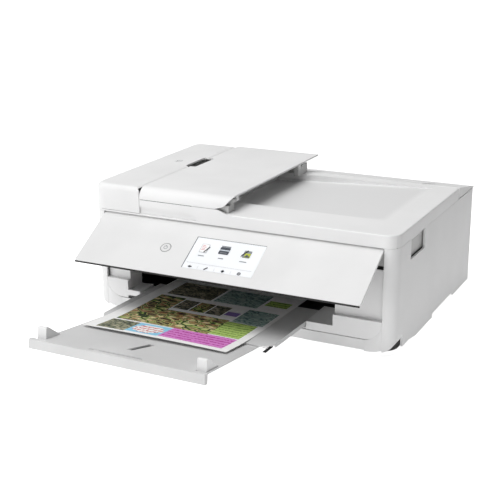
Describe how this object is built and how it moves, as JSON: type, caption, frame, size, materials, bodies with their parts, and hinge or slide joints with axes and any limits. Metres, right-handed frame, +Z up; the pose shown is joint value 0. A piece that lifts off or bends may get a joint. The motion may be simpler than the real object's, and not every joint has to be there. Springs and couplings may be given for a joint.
{
  "type": "inkjet all-in-one printer",
  "caption": "Desktop inkjet printer with flatbed scanner, document feeder, tilting touch panel, sliding output tray, front cassette and rear paper hatch.",
  "frame": {"origin": "on the table, under the centre of the whole machine with its output tray drawn out", "axes": "+X to the printer's right as seen from the front, +Y to its back, +Z up"},
  "size_m": [0.468, 0.6202, 0.193],
  "materials": {
    "white_shell": "fine textured ABS",
    "grey_plastic": "moulded ABS",
    "black_plastic": "moulded ABS",
    "steel": "zinc-plated",
    "rubber": "matt",
    "glass": "polished",
    "screen": "gloss",
    "foam": "white foam sheet",
    "board": "printed circuit board",
    "paper": "printed paper",
    "ink_black": "tank with black label",
    "ink_cyan": "tank with cyan label",
    "ink_magenta": "tank with magenta label",
    "ink_yellow": "tank with yellow label"
  },
  "bodies": {
    "chassis": {"base_case": "white_shell", "side_cover_left": "white_shell", "side_cover_right": "white_shell", "front_frame": "white_shell", "paper_exit_duct": "black_plastic", "rear_case": "white_shell", "rear_top_cover": "white_shell", "rubber_feet": "rubber", "case_screws": "steel", "chassis_frame": "steel", "carriage_rod": "steel", "platen": "black_plastic", "carriage_belt": "rubber", "carriage_motor": "steel", "feed_motor": "steel", "feed_belt": "rubber", "maintenance_station": "black_plastic", "power_supply": "black_plastic", "mains_inlet": "black_plastic", "main_board": "board"},
    "carriage_drive_pulley": {"carriage_drive_pulley": "steel"},
    "carriage_idler_pulley": {"carriage_idler_pulley": "steel"},
    "carriage": {"carriage": "grey_plastic", "print_head": "black_plastic", "ink_tank_pigment_black": "ink_black", "ink_tank_black": "ink_black", "ink_tank_cyan": "ink_cyan", "ink_tank_magenta": "ink_magenta", "ink_tank_yellow": "ink_yellow"},
    "capping_unit": {"capping_unit": "rubber"},
    "feed_roller": {"feed_roller": "steel"},
    "exit_roller": {"exit_roller": "steel"},
    "scanner": {"scanner_case": "grey_plastic", "scanner_frame": "white_shell", "platen_glass": "glass", "hinge_brackets": "steel"},
    "scan_bar": {"scan_bar": "black_plastic"},
    "document_cover": {"cover_shell": "white_shell", "pressure_pad": "foam", "feeder_housing": "white_shell"},
    "feeder_cover": {"feeder_cover": "white_shell"},
    "document_tray": {"document_tray": "white_shell"},
    "feeder_roller": {"feeder_roller": "rubber"},
    "document_guide_front": {"document_guide_front": "white_shell"},
    "document_guide_rear": {"document_guide_rear": "white_shell"},
    "control_panel": {"panel_shell": "white_shell", "panel_back": "black_plastic", "touch_screen": "screen"},
    "power_button": {"power_button": "white_shell"},
    "output_tray": {"output_tray": "white_shell"},
    "tray_extension": {"tray_extension": "white_shell"},
    "tray_stopper_left": {"tray_stopper_left": "white_shell"},
    "tray_stopper_right": {"tray_stopper_right": "white_shell"},
    "printed_sheet": {"printed_sheet": "paper"},
    "cassette": {"cassette": "white_shell"},
    "cassette_guide_left": {"cassette_guide_left": "white_shell"},
    "cassette_guide_right": {"cassette_guide_right": "white_shell"},
    "cassette_rear_guide": {"cassette_rear_guide": "white_shell"},
    "rear_tray_cover": {"rear_tray_cover": "white_shell"},
    "paper_support": {"paper_support": "white_shell"}
  },
  "joints": [
    {"name": "scanner_lift", "type": "hinge", "parent": "chassis", "child": "scanner", "pos_m": [0, 0.25713, 0.158], "axis": [-1, 0, 0], "range_deg": [0, 20]},
    {"name": "cover_lift", "type": "hinge", "parent": "scanner", "child": "document_cover", "pos_m": [0, 0.25713, 0.158], "axis": [-1, 0, 0], "range_deg": [0, 35]},
    {"name": "feeder_cover_lift", "type": "hinge", "parent": "document_cover", "child": "feeder_cover", "pos_m": [-0.2326, 0.12713, 0.1564], "axis": [0, -1, 0], "range_deg": [0, 85]},
    {"name": "document_tray_turn", "type": "hinge", "parent": "document_cover", "child": "document_tray", "pos_m": [-0.011, 0.12713, 0.186], "axis": [0, 1, 0], "range_deg": [0, 145]},
    {"name": "feeder_roller_spin", "type": "hinge", "parent": "document_cover", "child": "feeder_roller", "pos_m": [-0.15, 0.12713, 0.18], "axis": [0, 1, 0], "continuous": true},
    {"name": "document_guide_front_slide", "type": "slide", "parent": "document_cover", "child": "document_guide_front", "axis": [0, 1, 0], "range_m": [0, 0.05]},
    {"name": "document_guide_rear_slide", "type": "slide", "parent": "document_cover", "child": "document_guide_rear", "axis": [0, -1, 0], "range_m": [0, 0.05]},
    {"name": "scan_bar_slide", "type": "slide", "parent": "scanner", "child": "scan_bar", "axis": [1, 0, 0], "range_m": [0, 0.28]},
    {"name": "panel_tilt", "type": "hinge", "parent": "chassis", "child": "control_panel", "pos_m": [0, -0.05287, 0.1475], "axis": [1, 0, 0], "range_deg": [-14, 59]},
    {"name": "power_button_press", "type": "slide", "parent": "control_panel", "child": "power_button", "axis": [0, 0.515, -0.8572], "range_m": [0, 0.0006], "stiffness_N_per_m": 600},
    {"name": "output_tray_slide", "type": "slide", "parent": "chassis", "child": "output_tray", "axis": [0, 0.9994, -0.0349], "range_m": [0, 0.1]},
    {"name": "tray_extension_slide", "type": "slide", "parent": "output_tray", "child": "tray_extension", "axis": [0, 0.9917, -0.1288], "range_m": [0, 0.025]},
    {"name": "tray_stopper_left_fold", "type": "hinge", "parent": "tray_extension", "child": "tray_stopper_left", "pos_m": [0, -0.26777, 0.04671], "axis": [1, 0, 0], "range_deg": [0, 24]},
    {"name": "tray_stopper_right_fold", "type": "hinge", "parent": "tray_extension", "child": "tray_stopper_right", "pos_m": [0, -0.26777, 0.04671], "axis": [1, 0, 0], "range_deg": [0, 24]},
    {"name": "printed_sheet_slide", "type": "slide", "parent": "output_tray", "child": "printed_sheet", "axis": [0, -0.9917, 0.1288], "range_m": [0, 0.25]},
    {"name": "cassette_slide", "type": "slide", "parent": "chassis", "child": "cassette", "axis": [0, -1, 0], "range_m": [0, 0.25]},
    {"name": "cassette_guide_left_slide", "type": "slide", "parent": "cassette", "child": "cassette_guide_left", "axis": [1, 0, 0], "range_m": [0, 0.05]},
    {"name": "cassette_guide_right_slide", "type": "slide", "parent": "cassette", "child": "cassette_guide_right", "axis": [-1, 0, 0], "range_m": [0, 0.05]},
    {"name": "cassette_rear_guide_slide", "type": "slide", "parent": "cassette", "child": "cassette_rear_guide", "axis": [0, -1, 0], "range_m": [0, 0.06]},
    {"name": "carriage_slide", "type": "slide", "parent": "chassis", "child": "carriage", "axis": [-1, 0, 0], "range_m": [0, 0.28]},
    {"name": "carriage_drive_pulley_spin", "type": "hinge", "parent": "chassis", "child": "carriage_drive_pulley", "pos_m": [0.19, 0.12713, 0.092], "axis": [0, 1, 0], "continuous": true},
    {"name": "carriage_idler_pulley_spin", "type": "hinge", "parent": "chassis", "child": "carriage_idler_pulley", "pos_m": [-0.19, 0.12713, 0.092], "axis": [0, 1, 0], "continuous": true},
    {"name": "capping_unit_lift", "type": "slide", "parent": "chassis", "child": "capping_unit", "axis": [0, 0, -1], "range_m": [0, 0.005]},
    {"name": "feed_roller_spin", "type": "hinge", "parent": "chassis", "child": "feed_roller", "pos_m": [0, 0.17913, 0.05], "axis": [1, 0, 0], "continuous": true},
    {"name": "exit_roller_spin", "type": "hinge", "parent": "chassis", "child": "exit_roller", "pos_m": [0, 0.10313, 0.051], "axis": [1, 0, 0], "continuous": true},
    {"name": "rear_tray_cover_open", "type": "hinge", "parent": "chassis", "child": "rear_tray_cover", "pos_m": [0, 0.30733, 0.1509], "axis": [-1, 0, 0], "range_deg": [0, 100]},
    {"name": "paper_support_slide", "type": "slide", "parent": "rear_tray_cover", "child": "paper_support", "axis": [0, -0.9822, 0.1879], "range_m": [0, 0.02]}
  ],
  "couplings": [
    {"joint": "document_guide_rear_slide", "follows": "document_guide_front_slide", "ratio": 1},
    {"joint": "cassette_guide_left_slide", "follows": "cassette_guide_right_slide", "ratio": 1},
    {"joint": "exit_roller_spin", "follows": "feed_roller_spin", "ratio": 1},
    {"joint": "carriage_idler_pulley_spin", "follows": "carriage_drive_pulley_spin", "ratio": 1}
  ]
}
